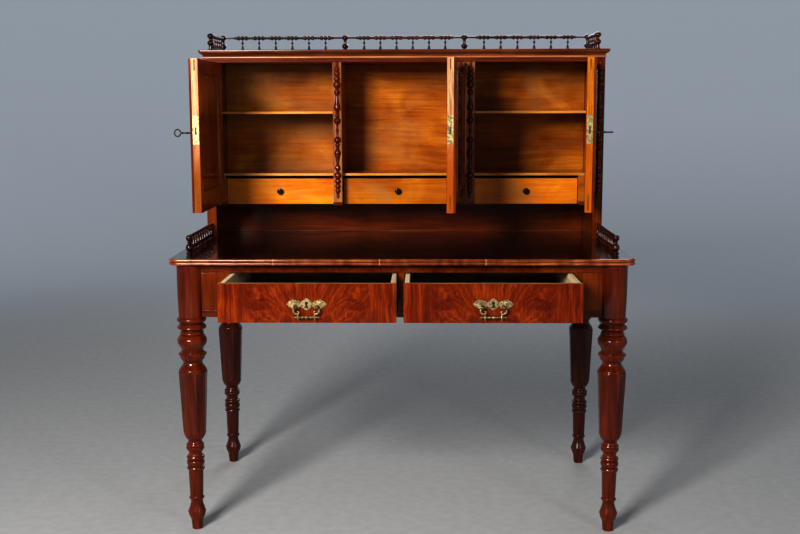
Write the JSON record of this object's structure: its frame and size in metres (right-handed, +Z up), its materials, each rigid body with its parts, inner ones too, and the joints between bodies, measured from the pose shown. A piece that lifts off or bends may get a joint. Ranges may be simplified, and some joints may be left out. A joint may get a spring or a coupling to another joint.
{
  "type": "secretary desk",
  "caption": "Lady's writing desk on turned legs with long drawers and an upper cabinet of compartments behind framed doors, with small drawers and spindle galleries.",
  "frame": {"origin": "on the floor, in the middle of the desk from left to right and halfway between the open drawer handles and the back edge of the table top", "axes": "+Z up, -Y towards the sitter and the drawer fronts, +X to the right of a person facing the desk"},
  "size_m": [1.273, 0.8798, 1.4188],
  "materials": {
    "mahogany": "french-polished gloss",
    "flame_veneer": "french-polished gloss",
    "turned_mahogany": "french-polished gloss",
    "honey_wood": "satin",
    "pale_wood": "waxed matt",
    "brass": "aged satin",
    "steel": "dark patina",
    "ebonised_wood": "gloss"
  },
  "bodies": {
    "desk": {"table_top": "mahogany", "front_top_rail": "mahogany", "front_bottom_rail": "mahogany", "frieze_divider": "mahogany", "frieze_panel_left": "mahogany", "frieze_panel_right": "mahogany", "side_apron_left": "mahogany", "side_apron_right": "mahogany", "back_apron": "mahogany", "cabinet_side_left": "mahogany", "cabinet_side_right": "mahogany", "cornice": "mahogany", "leg_front_left": "turned_mahogany", "leg_front_right": "turned_mahogany", "leg_rear_left": "turned_mahogany", "leg_rear_right": "turned_mahogany", "half_column_outer_left": "turned_mahogany", "half_column_inner_left": "turned_mahogany", "half_column_inner_right": "turned_mahogany", "half_column_outer_right": "turned_mahogany", "gallery_rear": "turned_mahogany", "gallery_side_left": "turned_mahogany", "gallery_side_right": "turned_mahogany", "table_gallery_left": "turned_mahogany", "table_gallery_right": "turned_mahogany", "partition_left": "honey_wood", "partition_right": "honey_wood", "cabinet_back": "honey_wood", "cabinet_top": "honey_wood", "cabinet_bottom": "honey_wood", "compartment_floor_left": "honey_wood", "compartment_floor_middle": "honey_wood", "compartment_floor_right": "honey_wood", "shelf_left": "honey_wood", "shelf_right": "honey_wood", "drawer_runner_left": "pale_wood", "drawer_runner_middle": "pale_wood", "drawer_runner_right": "pale_wood"},
    "drawer_left": {"drawer_front_left": "flame_veneer", "drawer_box_left": "pale_wood", "pull_plate_left": "brass"},
    "bail_left": {"pull_bail_left": "brass"},
    "drawer_right": {"drawer_front_right": "flame_veneer", "drawer_box_right": "pale_wood", "pull_plate_right": "brass"},
    "bail_right": {"pull_bail_right": "brass"},
    "door_left": {"door_frame_left": "mahogany", "door_panel_left": "flame_veneer"},
    "door_middle": {"door_frame_middle": "mahogany", "door_panel_middle": "flame_veneer"},
    "door_right": {"door_frame_right": "mahogany", "door_panel_right": "flame_veneer"},
    "key_left": {"key_left": "steel"},
    "key_right": {"key_right": "steel"},
    "small_drawer_left_body": {"small_drawer_left": "honey_wood", "small_knob_left": "ebonised_wood"},
    "small_drawer_middle_body": {"small_drawer_middle": "honey_wood", "small_knob_middle": "ebonised_wood"},
    "small_drawer_right_body": {"small_drawer_right": "honey_wood", "small_knob_right": "ebonised_wood"}
  },
  "joints": [
    {"name": "drawer_left_slide", "type": "slide", "parent": "desk", "child": "drawer_left", "axis": [0, -1, 0], "range_m": [-0.185, 0.165]},
    {"name": "bail_left_swing", "type": "hinge", "parent": "drawer_left", "child": "bail_left", "pos_m": [-0.24088, -0.4354, 0.6765], "axis": [-1, 0, 0], "range_deg": [0, 95]},
    {"name": "drawer_right_slide", "type": "slide", "parent": "desk", "child": "drawer_right", "axis": [0, -1, 0], "range_m": [-0.185, 0.165]},
    {"name": "bail_right_swing", "type": "hinge", "parent": "drawer_right", "child": "bail_right", "pos_m": [0.24088, -0.4354, 0.6765], "axis": [-1, 0, 0], "range_deg": [0, 95]},
    {"name": "door_left_hinge", "type": "hinge", "parent": "desk", "child": "door_left", "pos_m": [-0.584, 0.1999, 1.109], "axis": [0, 0, -1], "range_deg": [-90, 20]},
    {"name": "door_middle_hinge", "type": "hinge", "parent": "desk", "child": "door_middle", "pos_m": [0.19, 0.1999, 1.109], "axis": [0, 0, 1], "range_deg": [-84, 16]},
    {"name": "door_right_hinge", "type": "hinge", "parent": "desk", "child": "door_right", "pos_m": [0.584, 0.1999, 1.109], "axis": [0, 0, 1], "range_deg": [-82, 28]},
    {"name": "key_left_turn", "type": "hinge", "parent": "door_left", "child": "key_left", "pos_m": [-0.584, -0.1481, 1.118], "axis": [1, 0, 0], "range_deg": [0, 360]},
    {"name": "key_right_turn", "type": "hinge", "parent": "door_right", "child": "key_right", "pos_m": [0.53557, -0.14471, 1.118], "axis": [-0.9903, 0.1392, 0], "range_deg": [0, 360]},
    {"name": "small_drawer_left_slide", "type": "slide", "parent": "desk", "child": "small_drawer_left_body", "axis": [0, -1, 0], "range_m": [0, 0.14]},
    {"name": "small_drawer_middle_slide", "type": "slide", "parent": "desk", "child": "small_drawer_middle_body", "axis": [0, -1, 0], "range_m": [0, 0.14]},
    {"name": "small_drawer_right_slide", "type": "slide", "parent": "desk", "child": "small_drawer_right_body", "axis": [0, -1, 0], "range_m": [0, 0.14]}
  ]
}
